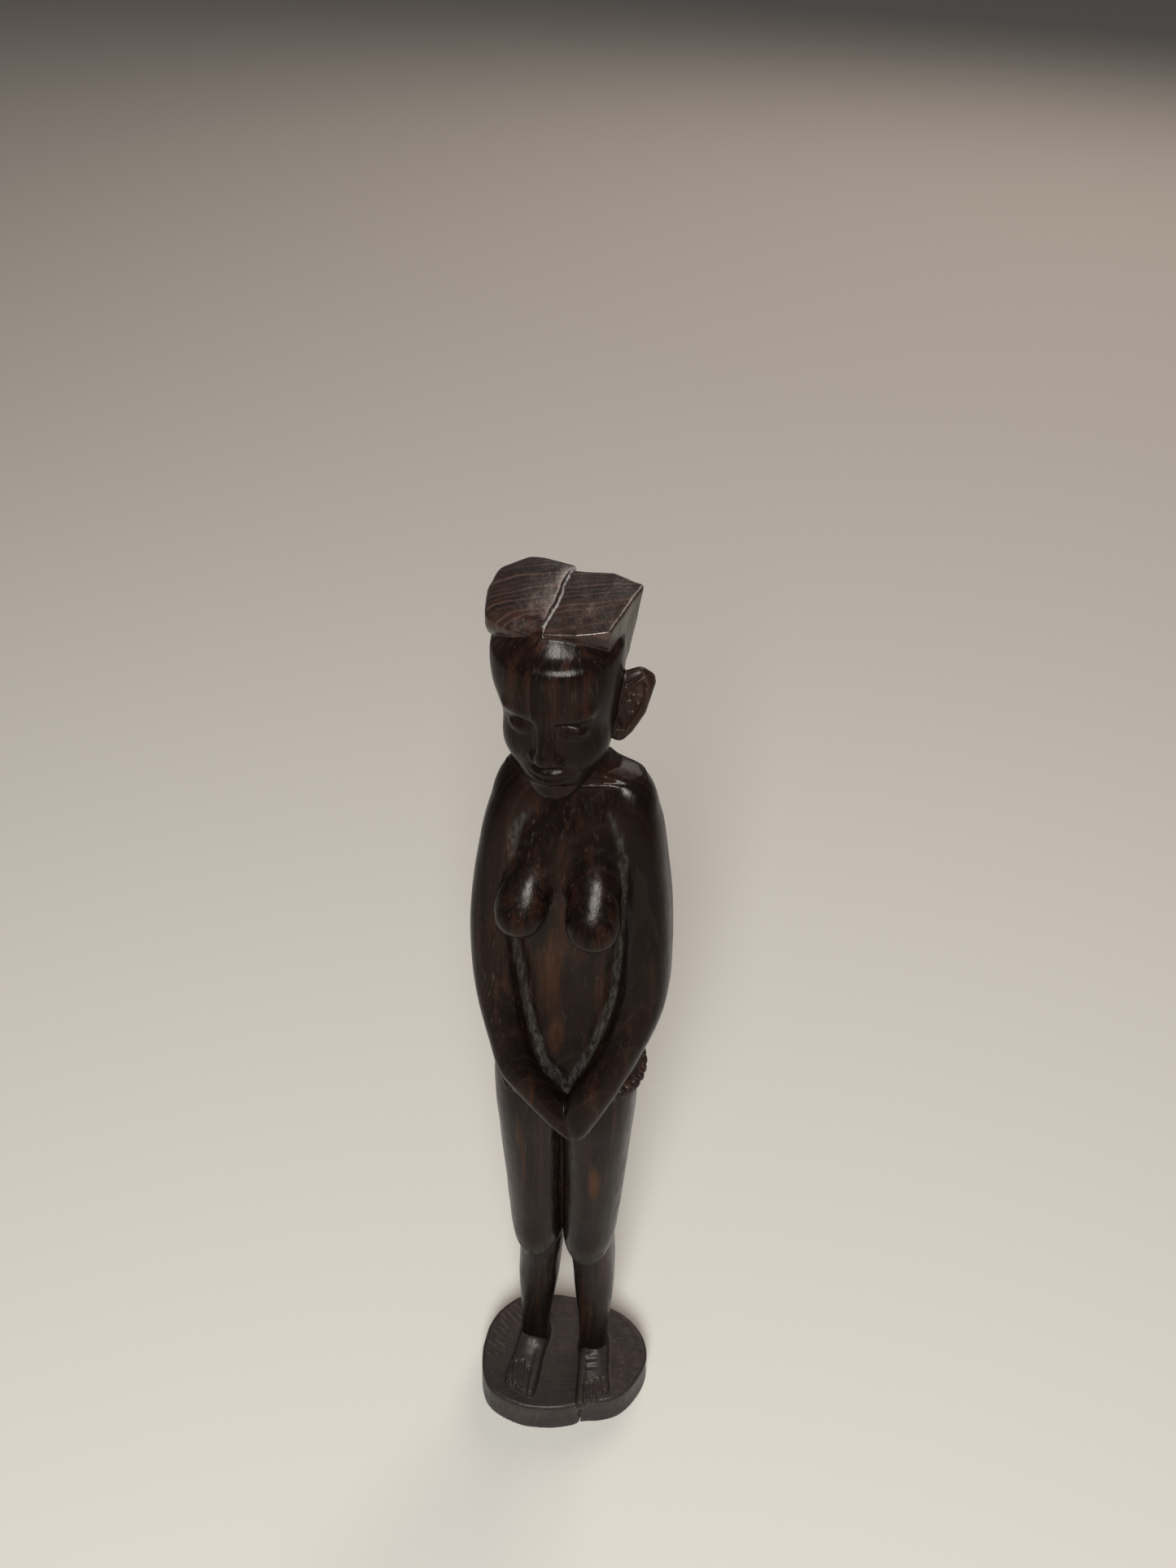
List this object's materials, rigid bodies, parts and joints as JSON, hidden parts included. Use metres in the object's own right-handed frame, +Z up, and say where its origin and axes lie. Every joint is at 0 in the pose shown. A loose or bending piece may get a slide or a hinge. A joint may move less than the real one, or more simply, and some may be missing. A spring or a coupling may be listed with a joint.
{
  "type": "carved standing ancestor figure",
  "caption": "Slender standing woman carved in dark hardwood, hands joined below a bead girdle, flat-topped parted hair, on an rounded base.",
  "frame": {"origin": "centre of the flat underside of the rounded base", "axes": "+Z up through the figure, -Y the way the chest and feet face, +X the figure's left side"},
  "size_m": [0.0543, 0.0394, 0.3002],
  "materials": {
    "polished_wood": "near-black brown heartwood with reddish-brown streaks, scraped smooth and waxed to a satin polish",
    "tooled_wood": "the same heartwood left with knife and gouge marks, lower sheen",
    "end_grain_wood": "the same heartwood cut across the grain, wavy lighter growth lines, satin"
  },
  "bodies": {
    "root": {"base": "tooled_wood", "left_foot": "tooled_wood", "right_foot": "tooled_wood", "left_lower_leg": "polished_wood", "right_lower_leg": "polished_wood", "left_thigh": "polished_wood", "right_thigh": "polished_wood", "torso": "polished_wood", "left_breast": "polished_wood", "right_breast": "polished_wood", "left_arm": "polished_wood", "right_arm": "polished_wood", "left_hand": "polished_wood", "right_hand": "polished_wood", "neck": "polished_wood", "head": "polished_wood", "left_ear": "tooled_wood", "right_ear": "tooled_wood", "left_hair_lobe": "end_grain_wood", "right_hair_lobe": "end_grain_wood", "bead_girdle": "tooled_wood"}
  },
  "joints": []
}
